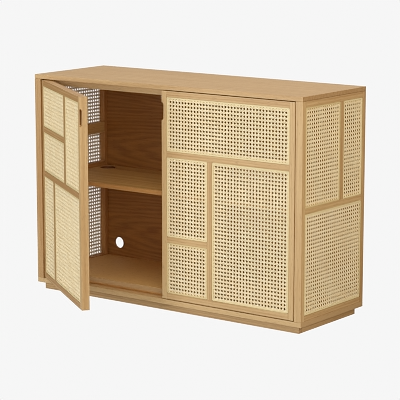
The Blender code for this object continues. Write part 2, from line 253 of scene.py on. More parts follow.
def makeOak(name, look):
    # Oak, planed, sanded and lacquered matt: growth rings, straight streaks, short dark pores, soft sheen
    material, tree, shader = newMaterial(name)
    marks = {
        mark: addNode(tree, "ShaderNodeAttribute", {"attribute_name": mark})
        for mark in ("grain", "rings", "boardTone", "edgeTone", "cutTone")
    }
    layers = {}
    for layer, detail in (("streak", 3.0), ("fibre", 2.0), ("poreSize", 1.0)):
        mapping = addNode(
            tree, "ShaderNodeMapping", {"Scale": [perMetre(size) for size in look[layer]]},
            {"Vector": marks["grain"].outputs["Vector"]},
        )
        layers[layer] = addNode(
            tree, "ShaderNodeTexNoise",
            {"Scale": 1.0, "Detail": detail, "Roughness": 0.55, "Distortion": 0.25},
            {"Vector": mapping.outputs["Vector"]},
        ).outputs["Fac"]
    # the rings lie round the trunk's middle, and a veneer's leaves mirror each other
    spot = addNode(tree, "ShaderNodeSeparateXYZ", None, {"Vector": marks["rings"].outputs["Vector"]})
    leaf = look["leaf"] / 1000
    mirrored = addNode(tree, "ShaderNodeMath", {"operation": "PINGPONG", 1: leaf}, {0: spot.outputs["Y"]})
    fromMiddle = addNode(
        tree, "ShaderNodeMath", {"operation": "SUBTRACT", 1: leaf / 2}, {0: mirrored.outputs[0]},
    )
    drawn = addNode(
        tree, "ShaderNodeMath", {"operation": "MULTIPLY", 1: look["ringStretch"]}, {0: spot.outputs["X"]},
    )
    trunk = addNode(
        tree, "ShaderNodeCombineXYZ", None,
        {"X": drawn.outputs[0], "Y": fromMiddle.outputs[0], "Z": spot.outputs["Z"]},
    )
    # the wave node draws ten rings over pi units
    growth = addNode(
        tree, "ShaderNodeTexWave",
        {"wave_type": "RINGS", "rings_direction": "X", "wave_profile": "SIN",
         "Scale": perMetre(look["ring"]) * math.pi / 10, "Distortion": look["ringWander"], "Detail": 3.0,
         "Detail Scale": 1.2, "Detail Roughness": 0.6},
        {"Vector": trunk.outputs["Vector"]},
    )
    streaks = addNode(
        tree, "ShaderNodeMix", {"data_type": "FLOAT", "Factor": look["fibreShare"]},
        {2: layers["streak"], 3: layers["fibre"]},
    )
    figure = addNode(
        tree, "ShaderNodeMix", {"data_type": "FLOAT", "Factor": look["ringShare"]},
        {2: streaks.outputs[0], 3: growth.outputs["Fac"]},
    )
    # each board is moved lighter or darker by its tone, by chance or as painted light or shade
    toned = addNode(
        tree, "ShaderNodeMath", {"operation": "MULTIPLY_ADD", 1: look["boardSpread"]},
        {0: marks["boardTone"].outputs["Fac"], 2: figure.outputs[0]},
    )
    wood = addNode(
        tree, "ShaderNodeValToRGB", {"stops": zip(look["contrast"], (look["light"], look["dark"]))},
        {"Fac": toned.outputs[0]},
    )
    poreStart, poreFull = look["poreLevel"]
    pores = addNode(
        tree, "ShaderNodeMapRange",
        {"From Min": poreStart, "From Max": poreFull, "To Min": 0.0, "To Max": look["poreDepth"]},
        {"Value": layers["poreSize"]},
    )
    # over the wood: pores, the end grain or lipping (partly painted light), and painted shade in the finger
    # pulls and the cable hole
    shares = {
        "pore": pores.outputs[0],
        "edge": marks["edgeTone"].outputs["Fac"],
        "cut": marks["cutTone"].outputs["Fac"],
    }
    colour = wood.outputs["Color"]
    for tint, share in shares.items():
        colour = addNode(
            tree, "ShaderNodeMix", {"data_type": "RGBA", 7: linear(look[tint])}, {0: share, 6: colour},
        ).outputs[2]
    smooth, rough = look["roughness"]
    sheen = addNode(
        tree, "ShaderNodeMapRange", {"To Min": smooth, "To Max": rough}, {"Value": layers["fibre"]},
    )
    height = addNode(
        tree, "ShaderNodeMath", {"operation": "SUBTRACT"}, {0: layers["fibre"], 1: pores.outputs[0]},
    )
    bump = addNode(
        tree, "ShaderNodeBump", {"Strength": look["relief"], "Distance": look["reliefHeight"]},
        {"Height": height.outputs[0]},
    )
    tree.links.new(colour, shader.inputs["Base Color"])
    tree.links.new(sheen.outputs[0], shader.inputs["Roughness"])
    tree.links.new(bump.outputs["Normal"], shader.inputs["Normal"])
    shader.inputs["IOR"].default_value = look["ior"]
    return material


caneLook = {
    "pale": "#fdecc2",
    "straw": "#efd093",
    "contrast": (0.25, 0.85),
    "toneShare": 0.5,          # how much one strand differs from the next, against its own fibre
    "fibre": (60, 0.9),        # millimetres along and across, drawn twice as coarse as real so that it shows
    "joint": "#c9a766",        # the ring where a leaf grew
    "jointSpacing": 310,
    "jointLength": 3.0,
    "jointDepth": 0.7,
    "relief": 0.2,
    "reliefHeight": 0.0002,
    "roughness": 0.42,
    "ior": 1.5,
}
# the reed spline: a little more straw than the cane, and painted darker for the shade that the frame's edge
# casts on it
splineLook = dict(caneLook, pale="#ecdba4", straw="#dac183", roughness=0.48)


def makeCane(name, look):
    # Rattan cane, split and shaved: pale glossy skin, fine lengthwise fibre, each strand its own tone
    material, tree, shader = newMaterial(name)
    strand = addNode(tree, "ShaderNodeAttribute", {"attribute_name": "strand"})
    tone = addNode(tree, "ShaderNodeAttribute", {"attribute_name": "strandTone"})
    along, across = look["fibre"]
    mapping = addNode(
        tree, "ShaderNodeMapping", {"Scale": (perMetre(along), perMetre(across), 1.0)},
        {"Vector": strand.outputs["Vector"]},
    )
    fibre = addNode(
        tree, "ShaderNodeTexNoise", {"Scale": 1.0, "Detail": 2.0, "Roughness": 0.6},
        {"Vector": mapping.outputs["Vector"]},
    )
    shade = addNode(
        tree, "ShaderNodeMix", {"data_type": "FLOAT", "Factor": look["toneShare"]},
        {2: fibre.outputs["Fac"], 3: tone.outputs["Fac"]},
    )
    skin = addNode(
        tree, "ShaderNodeValToRGB", {"stops": zip(look["contrast"], (look["pale"], look["straw"]))},
        {"Fac": shade.outputs[0]},
    )
    # each strand has its joints at its own places
    lengths = addNode(tree, "ShaderNodeSeparateXYZ", None, {"Vector": strand.outputs["Vector"]})
    shifted = addNode(
        tree, "ShaderNodeMath", {"operation": "MULTIPLY_ADD", 1: perMetre(look["jointSpacing"])},
        {0: lengths.outputs["X"], 2: tone.outputs["Fac"]},
    )
    wrapped = addNode(tree, "ShaderNodeMath", {"operation": "FRACT"}, {0: shifted.outputs[0]})
    ring = addNode(
        tree, "ShaderNodeMath",
        {"operation": "LESS_THAN", 1: look["jointLength"] / look["jointSpacing"]},
        {0: wrapped.outputs[0]},
    )
    mark = addNode(
        tree, "ShaderNodeMath", {"operation": "MULTIPLY", 1: look["jointDepth"]}, {0: ring.outputs[0]},
    )
    colour = addNode(
        tree, "ShaderNodeMix", {"data_type": "RGBA", 7: linear(look["joint"])},
        {0: mark.outputs[0], 6: skin.outputs["Color"]},
    )
    bump = addNode(
        tree, "ShaderNodeBump", {"Strength": look["relief"], "Distance": look["reliefHeight"]},
        {"Height": fibre.outputs["Fac"]},
    )
    tree.links.new(colour.outputs[2], shader.inputs["Base Color"])
    tree.links.new(bump.outputs["Normal"], shader.inputs["Normal"])
    shader.inputs["Roughness"].default_value = look["roughness"]
    shader.inputs["IOR"].default_value = look["ior"]
    return material


steelLook = {
    "zinc": ("#a9adb1", "#c9ccce"),     # dull and bright places
    "bronze": ("#33261b", "#433325"),
    "turningMarks": 0.8,                # millimetres
    "roughness": (0.26, 0.42),
}


def makeSteel(name, tones):
    # Steel with a plated or bronzed skin: fine turning marks, soft highlights
    material, tree, shader = newMaterial(name)
    place = addNode(tree, "ShaderNodeTexCoord")
    marks = addNode(
        tree, "ShaderNodeTexNoise", {"Scale": perMetre(steelLook["turningMarks"]), "Detail": 2.0},
        {"Vector": place.outputs["Object"]},
    )
    smooth, rough = steelLook["roughness"]
    sheen = addNode(
        tree, "ShaderNodeMapRange", {"To Min": smooth, "To Max": rough}, {"Value": marks.outputs["Fac"]},
    )
    colour = addNode(
        tree, "ShaderNodeValToRGB", {"stops": zip((0.0, 1.0), tones)}, {"Fac": marks.outputs["Fac"]},
    )
    tree.links.new(colour.outputs["Color"], shader.inputs["Base Color"])
    tree.links.new(sheen.outputs[0], shader.inputs["Roughness"])
    shader.inputs["Metallic"].default_value = 1.0
    return material


absLook = {
    "tones": ("#80592f", "#8c6337"),
    "grit": 0.5,               # millimetres
    "relief": 0.3,
    "reliefHeight": 0.0001,
    "roughness": 0.46,
}


def makeAbs(name, look):
    # ABS, moulded with a fine spark texture: even oak brown, low sheen
    material, tree, shader = newMaterial(name)
    place = addNode(tree, "ShaderNodeTexCoord")
    grit = addNode(
        tree, "ShaderNodeTexNoise", {"Scale": perMetre(look["grit"]), "Detail": 3.0},
        {"Vector": place.outputs["Object"]},
    )
    colour = addNode(
        tree, "ShaderNodeValToRGB", {"stops": zip((0.0, 1.0), look["tones"])}, {"Fac": grit.outputs["Fac"]},
    )
    bump = addNode(
        tree, "ShaderNodeBump", {"Strength": look["relief"], "Distance": look["reliefHeight"]},
        {"Height": grit.outputs["Fac"]},
    )
    tree.links.new(colour.outputs["Color"], shader.inputs["Base Color"])
    tree.links.new(bump.outputs["Normal"], shader.inputs["Normal"])
    shader.inputs["Roughness"].default_value = look["roughness"]
    return material


oak = makeOak("lacqueredOak", oakLook)
insideOak = makeOak("insideOakVeneer", insideOakLook)
shelfOak = makeOak("shelfOakVeneer", shelfOakLook)
backOak = makeOak("backOakVeneer", backOakLook)
floorOak = makeOak("floorOakVeneer", floorOakLook)
warmOak = makeOak("warmLacqueredOak", warmOakLook)
cane = makeCane("shavedCane", caneLook)
reed = makeCane("reedSpline", splineLook)
zincSteel = makeSteel("zincPlatedSteel", steelLook["zinc"])
bronzedSteel = makeSteel("bronzedSteel", steelLook["bronze"])
brownAbs = makeAbs("brownAbs", absLook)
print("materials ready")


# Oak boards and bars: copies of the solids with their edges eased and their grain laid along them

boards = {
    "notWood": ("_cane_", "_pin", "magnet_catch"),
    "easing": 0.0005,          # sanded arris of a bar
    "backEasing": 0.0020,      # of the back, which leaves a fine groove in the corners
    "grooveEasing": 0.0028,    # of the top and base along the sides, which leaves a groove there too
    "grooveSteps": 3,
    "crispShare": 0.35,        # share of that along their other edges
    "boreShare": 0.10,         # and round their bores
    "grooved": {"top_panel": 0, "base_panel": 1},   # joint at the panel's lower or upper face
    "undercut": 0.0090,        # slope under the floor's front edge
    "sharpAngle": 30.0,        # degrees, from which an edge is eased
    "flatAngle": 0.3,          # degrees, below which two faces are one
    "mergeDistance": 0.000002,
    "touch": 0.00005,          # closer than this is the same place
    "skin": 0.000125,          # deeper than this is inside the board
    "inside": ("floor_panel", "centre_divider", "back_panel", "shelf_left", "shelf_right"),
    "lipped": ("floor_panel", "shelf_left", "shelf_right"),
    "bored": ("shelf_left",),
    "uprightGrain": ("stile", "muntin", "divider"),
    "depthGrain": ("left_side_", "right_side_", "plinth_left", "plinth_right", "plinth_cross"),
    "woods": {                 # where it isn't the plain one
        "back_panel": backOak, "floor_panel": floorOak, "shelf_left": shelfOak, "shelf_right": shelfOak,
        "left_side_back_stile": warmOak, "left_side_upper_rail": warmOak, "left_side_shelf_rail": warmOak,
        "left_side_bottom_rail": warmOak, "left_side_top_rail": warmOak,
    },
    "tones": {                 # above 0 is darker: named boards are painted lighter or darker for the light or shade that falls on them, and boards that aren't named differ by chance
        "back_panel": 0.2, "floor_panel": -2.6, "shelf_left": 0.0, "top_panel": 0.5, "base_panel": -3.0,
        "right_door_hinge_stile": -1.3, "right_side_front_stile": -1.2, "right_door_pull_stile": -2.6,
        "left_door_top_rail": 3.0, "left_door_mid_rail": 3.0, "left_door_short_rail": 3.0,
        "left_door_bottom_rail": 2.0, "left_door_upper_muntin": 2.5, "left_door_lower_muntin": 2.5,
        "left_door_hinge_stile": 2.5, "top_front_rail": -4.0, "left_side_front_stile": 1.5,
        "left_side_back_stile": 4.0, "left_side_upper_rail": -2.0, "left_side_shelf_rail": 3.0,
        "left_side_bottom_rail": 3.0, "left_side_top_rail": 3.0, "plinth_left": 3.0,
    },
    "figured": ("back_panel", "centre_divider"),   # cut near the middle of the trunk
    "flatSawn": {"aside": 0.10, "deep": (0.06, 0.09), "lean": (0.07, 0.10)},
    "riftSawn": {"aside": 0.27, "deep": (0.20, 0.30), "lean": (0.001, 0.004)},
    "patternReach": 9.0,       # metres over which the boards' patterns are spread
    "endGrain": 0.35,          # how much of the edge colour the end grain takes
    "pullMargin": 0.0030,      # round the stated opening, for the painted shade in the groove inside a finger pull
    "pullUndercut": 0.0090,
    "pullSkin": 0.0008,
}


def openingBox(name):
    openings = {opening["name"]: opening["box_m"] for opening in frame["record"]["physics"]["openings"]}
    return [Vector(corner) for corner in openings[name]]


pullLow, pullHigh = openingBox("right_finger_pull")


def grainAxis(node):
    if any(word in node for word in boards["uprightGrain"]):
        return 2
    if node.startswith(boards["depthGrain"]):
        return 1
    return 0


def copyNode(node, name):
    piece = newPiece(name, frame["nodes"][node].data.copy())
    editAll(piece)
    bpy.ops.mesh.customdata_custom_splitnormals_clear()
    bpy.ops.mesh.remove_doubles(threshold=boards["mergeDistance"])
    bpy.ops.mesh.dissolve_limited(angle_limit=math.radians(boards["flatAngle"]))
    leaveEdit()
    placeMesh(piece, closeDoor[bodyOf[node]])
    return piece


def easeEdges(piece, width, segments=2, limit="ANGLE"):
    sharp = math.radians(boards["sharpAngle"])
    applyModifier(
        piece, "easedEdges", "BEVEL",
        width=width, segments=segments, limit_method=limit, angle_limit=sharp,
    )
    bpy.ops.object.shade_smooth_by_angle(angle=sharp)
    applyModifier(piece, "evenFaces", "WEIGHTED_NORMAL", keep_sharp=True)


def weighEdges(piece, node):
    # each edge of a grooved panel gets its own share of the easing
    corners = closedBox(node)
    joint = corners[boards["grooved"][node]].z
    touch = boards["touch"]
    shares = piece.data.attributes.new("bevel_weight_edge", "FLOAT", "EDGE")
    for edge in piece.data.edges:
        first, second = [piece.data.vertices[end].co for end in edge.vertices]
        middle = (first + second) / 2
        square = [abs(first[axis] - second[axis]) < touch for axis in range(3)]   # to each axis
        outside = any(
            square[axis] and abs(middle[axis] - corner[axis]) < touch for axis in (0, 1) for corner in corners
        )
        if not outside:
            shares.data[edge.index].value = boards["boreShare"]
        elif square[0] and square[2] and abs(middle.z - joint) < touch:
            shares.data[edge.index].value = 1.0
        else:
            shares.data[edge.index].value = boards["crispShare"]


def undercutFront(piece, node):
    # slopes the lower front edge back, so that the board ends in a shadow
    low = closedBox(node)[0]
    touch = boards["touch"]

    def lowerFront(*ends):
        return all(end.y < low.y + touch and end.z < low.z + touch for end in ends)

    editAll(piece)
    selectEdges(piece, lowerFront)
    bpy.ops.mesh.bevel(offset=boards["undercut"], segments=1, affect="EDGES")
    leaveEdit()


def insidePull(node, point, low, high):
    # the left door's pull mirrors the right one's, and both are read with the doors closed
    if "pull_stile" not in node:
        return False
    margin, skin = boards["pullMargin"], boards["pullSkin"]
    reach = min(abs(low.x), abs(high.x)) + skin
    return (
        pullLow.z - margin < point.z < pullHigh.z + margin
        and reach < abs(point.x) < pullHigh.x + boards["pullUndercut"]
        and low.y + skin < point.y < pullHigh.y + margin
    )


def edgeTone(node, vertex, along, low):
    # how much of the edge colour shows: end grain, and the lipping along a lipped board's front, whose colour
    # is partly painted light
    if node in boards["lipped"]:
        atFront = vertex.co.y < low.y + boards["skin"]
        return 1.0 if atFront else 0.0
    if node in boards["inside"]:
        return 0.0
    return boards["endGrain"] if abs(vertex.normal[along]) > squareOn else 0.0


def cutTone(node, point, low, high):
    # painted shade: 1 on the wall of a cable hole and in a finger pull, which are darkened for the shade
    # inside them
    if node in boards["bored"]:
        skin = boards["skin"]
        inset = all(low[axis] + skin < point[axis] < high[axis] - skin for axis in range(3))
        return 1.0 if inset else 0.0
    return 1.0 if insidePull(node, point, low, high) else 0.0


def layGrain(piece, node, along):
    # places along, across and through the board, each board cut from its own spot of its own trunk
    draw = random.Random(piece.name)
    size = piece.dimensions
    across, through = sorted((axis for axis in range(3) if axis != along), key=lambda axis: -size[axis])
    trunk = boards["flatSawn"] if node in boards["figured"] else boards["riftSawn"]
    aside = draw.uniform(-1.0, 1.0) * trunk["aside"]
    deep = draw.uniform(*trunk["deep"])
    lean = draw.uniform(*trunk["lean"]) * draw.choice((-1, 1))
    shift = Vector([draw.uniform(0.0, boards["patternReach"]) for _ in range(3)])
    # a named board's painted light or shade, else a tone by chance
    tone = boards["tones"].get(node, draw.uniform(-1.0, 1.0))
    middle = sum((Vector(corner) for corner in piece.bound_box), Vector()) / len(piece.bound_box)
    low, high = closedBox(node)
    grain, rings, boardTone, edges, cuts = newAttributes(
        piece, grain="FLOAT_VECTOR", rings="FLOAT_VECTOR",
        boardTone="FLOAT", edgeTone="FLOAT", cutTone="FLOAT",
    )
    for vertex in piece.data.vertices:
        here = Vector([(vertex.co - middle)[axis] for axis in (along, across, through)])
        grain[vertex.index].vector = shift + here
        rings[vertex.index].vector = (here.x + shift.x, here.y + aside, here.z + deep + lean * here.x)
        boardTone[vertex.index].value = tone
        edges[vertex.index].value = edgeTone(node, vertex, along, low)
        cuts[vertex.index].value = cutTone(node, vertex.co, low, high)


def finishBoard(node):
    piece = copyNode(node, node + "_oak")
    if node in boards["grooved"]:
        weighEdges(piece, node)
        easeEdges(piece, boards["grooveEasing"], boards["grooveSteps"], "WEIGHT")
    elif node == "back_panel":
        easeEdges(piece, boards["backEasing"])
    else:
        if node == "floor_panel":
            undercutFront(piece, node)
        easeEdges(piece, boards["easing"])
    layGrain(piece, node, grainAxis(node))
    # boards inside take the veneers painted for the shade and light inside the cabinet
    if node in boards["inside"]:
        setPiece(piece, node, boards["woods"].get(node, insideOak))
    else:
        setPiece(piece, node, boards["woods"].get(node, oak))
    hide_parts(node)


for node in sorted(frame["nodes"]):
    if not any(word in node for word in boards["notWood"]):
        finishBoard(node)
print("oak boards finished")


# Cane: an octagonal weave of upright and level pairs with two sets of slanting strands

weave = {
    "pitch": 0.0133,           # hole to hole
    "pairSpacing": 0.0031,     # between the two strands of a pair
    "strandWidth": 0.0027,
    "slantWidth": 0.0022,
    "thickness": 0.0011,
    "rise": 0.0009,            # how far a strand goes over or under its neighbours
    "leastMargin": 0.0130,     # from the edge of the light to the first whole hole
    "spareCells": 2,           # woven past the outer holes, then cut to the light
    "belowSpline": 0.0004,
    "edgeGap": 0.0004,
    "mergeDistance": 0.00001,
    "cutSides": 8,             # most sides that a cut end has
    "smoothAngle": 70.0,       # degrees
    "fibreShift": 1.7,         # keeps the fibre of crossing strands apart
}
families = {"upright": 0, "level": 1, "rising": 2, "falling": 3}
# sections as shares of half the width and half the thickness, the rounded skin to the front
roundStrand = ((0.40, -1.0), (0.95, 0.0), (0.80, 1.0), (-0.80, 1.0), (-0.95, 0.0), (-0.40, -1.0))
flatStrand = ((0.62, -1.0), (1.0, 1.0), (-1.0, 1.0), (-0.62, -1.0))


def addStrand(family, stations, width, section):
    # in edit mode: a split cane, drawn from station to station
    bpy.ops.mesh.primitive_circle_add(vertices=len(section), radius=width / 2, fill_type="NOTHING")
    mesh = bmesh.from_edit_mesh(bpy.context.object.data)
    kind = mesh.verts.layers.int.get("family") or mesh.verts.layers.int.new("family")
    mesh.verts.ensure_lookup_table()
    start = Vector(stations[0])
    run = Vector(stations[1]) - start
    across = Vector((-run.z, 0.0, run.x)).normalized() * width / 2
    through = Vector((0.0, weave["thickness"] / 2, 0.0))
    ring = [vertex for vertex in mesh.verts if vertex.select]
    for vertex, (side, depth) in zip(ring, section):
        vertex.co = start + across * side + through * depth
        vertex[kind] = families[family]
    bmesh.update_edit_mesh(bpy.context.object.data)
    for first, second in zip(stations, stations[1:]):
        bpy.ops.mesh.extrude_region_move(
            TRANSFORM_OT_translate={"value": Vector(second) - Vector(first)},
        )


def makeCaneCell():
    # one repeat of the weave, from the middle of a hole to the middle of the next
    pitch = weave["pitch"]
    half = pitch / 2
    near = half - weave["pairSpacing"] / 2
    far = half + weave["pairSpacing"] / 2
    rise = weave["rise"]       # towards the back is +Y
    cell = newPiece("caneCell", bpy.data.meshes.new("caneCell"))
    pick(cell)
    bpy.ops.object.mode_set(mode="EDIT")
    for place, sign in ((near, -1), (far, 1)):
        lift = sign * rise
        upright = [(place, 0, 0), (place, lift, near), (place, -lift, far), (place, 0, pitch)]
        level = [(0, 0, place), (near, -lift, place), (far, lift, place), (pitch, 0, place)]
        addStrand("upright", upright, weave["strandWidth"], roundStrand)
        addStrand("level", level, weave["strandWidth"], roundStrand)
    slants = {
        "rising": (((half, -rise, 0), (pitch, rise, half)), ((0, rise, half), (half, -rise, pitch))),
        "falling": (((0, -rise, half), (half, rise, 0)), ((half, rise, pitch), (pitch, -rise, half))),
    }
    for family, pairs in slants.items():
        for stations in pairs:
            addStrand(family, stations, weave["slantWidth"], flatStrand)
    bpy.ops.mesh.select_all(action="SELECT")
    bpy.ops.mesh.normals_make_consistent(inside=False)
    leaveEdit()
    return cell


def holesAcross(length):
    return int((length - 2 * weave["leastMargin"]) / weave["pitch"]) + 1


def strandPlace(family, point):
    # distance along a strand and across the sheet
    slant = math.sqrt(0.5)
    if family == families["upright"]:
        return point.z, point.x
    if family == families["level"]:
        return point.x, point.z
    if family == families["rising"]:
        return (point.x + point.z) * slant, (point.x - point.z) * slant
    return (point.x - point.z) * slant, (point.x + point.z) * slant


def markStrands(piece):
    # each strand gets its own tone, and the fibre runs along it
    step = weave["pairSpacing"] / 2
    tones = {}
    strand, strandTone = newAttributes(piece, strand="FLOAT_VECTOR", strandTone="FLOAT")
    family = piece.data.attributes["family"].data
    for vertex in piece.data.vertices:
        kind = family[vertex.index].value
        along, across = strandPlace(kind, vertex.co)
        key = (kind, round(across / step))
        if key not in tones:
            tones[key] = random.Random("%s %d %d" % (piece.name, *key)).random()
        strand[vertex.index].vector = (along, across, kind * weave["fibreShift"])
        strandTone[vertex.index].value = tones[key]


def weaveSheet(name, width, height, cell):
    # a sheet of the weave, cut to width and height, its front lower corner at the origin
    pitch = weave["pitch"]
    spare = weave["spareCells"]
    merge = weave["mergeDistance"]
    piece = newPiece(name, cell.data.copy())
    starts = []
    for length, offset in ((width, (pitch, 0, 0)), (height, (0, 0, pitch))):
        between = holesAcross(length) - 1
        starts.append((length - between * pitch) / 2 - spare * pitch)
        applyModifier(
            piece, "repeat", "ARRAY", count=between + 2 * spare, use_relative_offset=False,
            use_constant_offset=True, constant_offset_displace=offset,
            use_merge_vertices=True, merge_threshold=merge,
        )
    placeMesh(piece, Matrix.Translation((starts[0], 0.0, starts[1])))
    editAll(piece)
    bpy.ops.mesh.remove_doubles(threshold=merge)
    gap = weave["edgeGap"]
    cuts = (
        ((gap, 0, 0), (-1, 0, 0)), ((width - gap, 0, 0), (1, 0, 0)),
        ((0, 0, gap), (0, 0, -1)), ((0, 0, height - gap), (0, 0, 1)),
    )
    for point, outward in cuts:
        bpy.ops.mesh.select_all(action="SELECT")
        bpy.ops.mesh.bisect(plane_co=point, plane_no=outward, clear_outer=True)
    # the cut ends are closed
    bpy.ops.mesh.select_all(action="DESELECT")
    bpy.ops.mesh.select_mode(type="EDGE")
    bpy.ops.mesh.select_non_manifold(
        use_wire=False, use_multi_face=False, use_non_contiguous=False, use_verts=False,
    )
    bpy.ops.mesh.fill_holes(sides=weave["cutSides"])
    bpy.ops.mesh.select_mode(type="VERT")
    leaveEdit()
    markStrands(piece)
    bpy.ops.object.shade_smooth_by_angle(angle=math.radians(weave["smoothAngle"]))
    return piece


spline = {
    "width": 0.0050,
    "depth": 0.0022,
    "rounding": 0.0010,
    "roundingSteps": 3,
    "cornerRadius": 0.0040,
    "cornerSteps": 4,
    "clearance": 0.0001,
}


def reedRing(name, width, height):
    # a reed pressed in round the edge of a light, over the cut ends of the cane
    bpy.ops.object.select_all(action="DESELECT")
    bpy.ops.mesh.primitive_plane_add(size=1.0, rotation=(math.radians(90), 0, 0))
    piece = nameNew(name)
    clear = spline["clearance"]
    middle = Matrix.Translation((width / 2, 0, height / 2))
    size = Matrix.Diagonal((width - 2 * clear, 1.0, height - 2 * clear, 1.0))
    placeMesh(piece, middle @ size @ piece.matrix_world)
    editAll(piece)
    bpy.ops.mesh.bevel(offset=spline["cornerRadius"], segments=spline["cornerSteps"], affect="VERTICES")
    bpy.ops.mesh.inset(thickness=spline["width"])
    bpy.ops.mesh.delete(type="FACE")
    bpy.ops.mesh.select_all(action="SELECT")
    bpy.ops.mesh.extrude_region_move(TRANSFORM_OT_translate={"value": (0, spline["depth"], 0)})
    bpy.ops.mesh.select_all(action="SELECT")
    bpy.ops.mesh.normals_make_consistent(inside=False)
    leaveEdit()
    easeEdges(piece, spline["rounding"], spline["roundingSteps"])
    strand, strandTone = newAttributes(piece, strand="FLOAT_VECTOR", strandTone="FLOAT")
    tone = random.Random(name).random()
    for vertex in piece.data.vertices:
        upright = min(vertex.co.x, width - vertex.co.x) < min(vertex.co.z, height - vertex.co.z)
        along, across = (vertex.co.z, vertex.co.x) if upright else (vertex.co.x, vertex.co.z)
        strand[vertex.index].vector = (along, across, vertex.co.y)
        strandTone[vertex.index].value = tone
    return piece


def lightStand(node):
    # where a light's front lower corner stands, and the light's width and height
    low, high = closedBox(node)
    size = high - low
    if node.startswith("right_side"):
        stand = Matrix.Translation((high.x, low.y, low.z)) @ Matrix.Rotation(math.radians(90), 4, "Z")
        return stand, size.y, size.z
    if node.startswith("left_side"):
        stand = Matrix.Translation((low.x, high.y, low.z)) @ Matrix.Rotation(math.radians(-90), 4, "Z")
        return stand, size.y, size.z
    return Matrix.Translation(low), size.x, size.z


def fillLight(node, cell):
    stand, width, height = lightStand(node)
    sheet = weaveSheet(node.replace("_cane_", "_weave_"), width, height, cell)
    behind = weave["belowSpline"] + weave["rise"] + weave["thickness"] / 2
    placeMesh(sheet, stand @ Matrix.Translation((0, behind, 0)))
    setPiece(sheet, node, cane)
    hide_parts(node)
    ring = reedRing(node.replace("_cane_", "_spline_"), width, height)
    placeMesh(ring, stand)
    setPiece(ring, node, reed)
    print("cane light", node, len(sheet.data.polygons), "faces")


caneCell = makeCaneCell()
for node in sorted(frame["nodes"]):
    if "_cane_" in node:
        fillLight(node, caneCell)
bpy.data.objects.remove(caneCell)


# Fittings

fittings = {
    "windowWidth": 0.0220,     # one magnet for each door
    "windowHeight": 0.0090,
    "windowDepth": 0.0050,
    "windowMiddle": 0.0150,    # from the middle of the catch
    "bodyRounding": 0.0006,
    "poleThickness": 0.0012,
    "poleReach": 0.0018,       # how far the poles stand out of the housing
    "poleInset": 0.0010,
    "strikeSize": (0.0220, 0.0012, 0.0110),
    "strikeCorner": 0.0020,
    "strikeCornerSteps": 4,
    "steelEasing": 0.0002,     # of plates, poles and magnets
    "screwRise": 0.0003,
    "screwGrid": 0.0035,       # the square in the head that the cross is cut in
    "screwRim": 1.7,           # from that square to the rim
    "recessDepth": 0.00075,
    "screwsAcross": 4,
    "screwsUp": 4,
    "screwFromEdge": 0.0120,
}


def addBox(name, low, high):
    bpy.ops.object.select_all(action="DESELECT")
    bpy.ops.mesh.primitive_cube_add(size=1.0)
    piece = nameNew(name)
    size = Vector(high) - Vector(low)
    placeMesh(piece, Matrix.Translation((Vector(low) + Vector(high)) / 2) @ Matrix.Diagonal((*size, 1.0)))
    return piece


def makeHousing(low, high, windows, foot, head):
    # a moulded housing with a window for each door's magnet
    housing = addBox("catch_housing", low, high)
    editAll(housing)
    for window in windows:
        for edge in window:
            bpy.ops.mesh.select_all(action="SELECT")
            bpy.ops.mesh.bisect(plane_co=(edge, 0, 0), plane_no=(1, 0, 0))
    for edge in (foot, head):
        bpy.ops.mesh.select_all(action="SELECT")
        bpy.ops.mesh.bisect(plane_co=(0, 0, edge), plane_no=(0, 0, 1))

    def inWindow(spot, normal):
        facesDoor = normal.y < -squareOn
        return facesDoor and foot < spot.z < head and any(left < spot.x < right for left, right in windows)

    selectFaces(housing, inWindow)
    bpy.ops.mesh.extrude_region_move(TRANSFORM_OT_translate={"value": (0, fittings["windowDepth"], 0)})
    leaveEdit()
    easeEdges(housing, fittings["bodyRounding"])
    setPiece(housing, "magnet_catch", brownAbs)
    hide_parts("magnet_catch")


def addSteel(name, low, high, material):
    piece = addBox(name, low, high)
    easeEdges(piece, fittings["steelEasing"])
    setPiece(piece, "magnet_catch", material)


def makeCatch():
    # each window holds a magnet between two poles
    low, high = closedBox("magnet_catch")
    middle = (low + high) / 2
    halfWide = fittings["windowWidth"] / 2
    foot = middle.z - fittings["windowHeight"] / 2
    head = middle.z + fittings["windowHeight"] / 2
    places = [middle.x + sign * fittings["windowMiddle"] for sign in (-1, 1)]
    windows = [(place - halfWide, place + halfWide) for place in places]
    makeHousing(low, high, windows, foot, head)
    inset = fittings["poleInset"]
    thick = fittings["poleThickness"]
    front = low.y - fittings["poleReach"]
    back = low.y + fittings["windowDepth"]
    for side, (left, right) in zip(("left", "right"), windows):
        first, last = left + inset, right - inset
        lower, upper = foot + inset, head - inset - thick
        addSteel("catch_magnet_" + side, (first, low.y, lower + thick), (last, back, upper), bronzedSteel)
        for level, start in (("lower", lower), ("upper", upper)):
            name = "catch_pole_" + side + "_" + level
            addSteel(name, (first, front, start), (last, back, start + thick), zincSteel)


